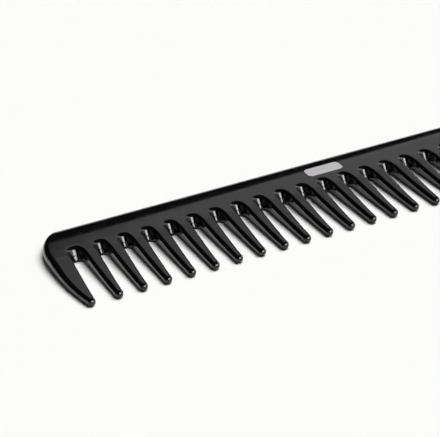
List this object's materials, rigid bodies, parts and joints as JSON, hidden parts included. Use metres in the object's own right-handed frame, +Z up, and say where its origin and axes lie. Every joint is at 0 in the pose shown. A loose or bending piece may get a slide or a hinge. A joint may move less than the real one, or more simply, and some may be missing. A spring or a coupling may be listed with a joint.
{
  "type": "wide tooth comb",
  "caption": "Straight black plastic comb with wide-set round-tipped teeth, a guard tooth at each end and a crowned spine with a plain foil mark.",
  "frame": {"origin": "centre of the comb's length and depth, on the face it lies on", "axes": "+X along the comb, +Y from the tooth tips to the spine's back, +Z up out of the face with the foil mark"},
  "size_m": [0.179, 0.0378, 0.004],
  "materials": {
    "black_plastic": "polished, injection moulded",
    "silver_foil": "satin hot-stamped foil"
  },
  "bodies": {
    "root": {"spine": "black_plastic", "guard_tooth_left": "black_plastic", "guard_tooth_right": "black_plastic", "tooth_01": "black_plastic", "tooth_02": "black_plastic", "tooth_03": "black_plastic", "tooth_04": "black_plastic", "tooth_05": "black_plastic", "tooth_06": "black_plastic", "tooth_07": "black_plastic", "tooth_08": "black_plastic", "tooth_09": "black_plastic", "tooth_10": "black_plastic", "tooth_11": "black_plastic", "tooth_12": "black_plastic", "tooth_13": "black_plastic", "tooth_14": "black_plastic", "tooth_15": "black_plastic", "tooth_16": "black_plastic", "tooth_17": "black_plastic", "tooth_18": "black_plastic", "tooth_19": "black_plastic", "tooth_20": "black_plastic", "tooth_21": "black_plastic", "tooth_22": "black_plastic", "tooth_23": "black_plastic", "foil_mark": "silver_foil"}
  },
  "joints": []
}
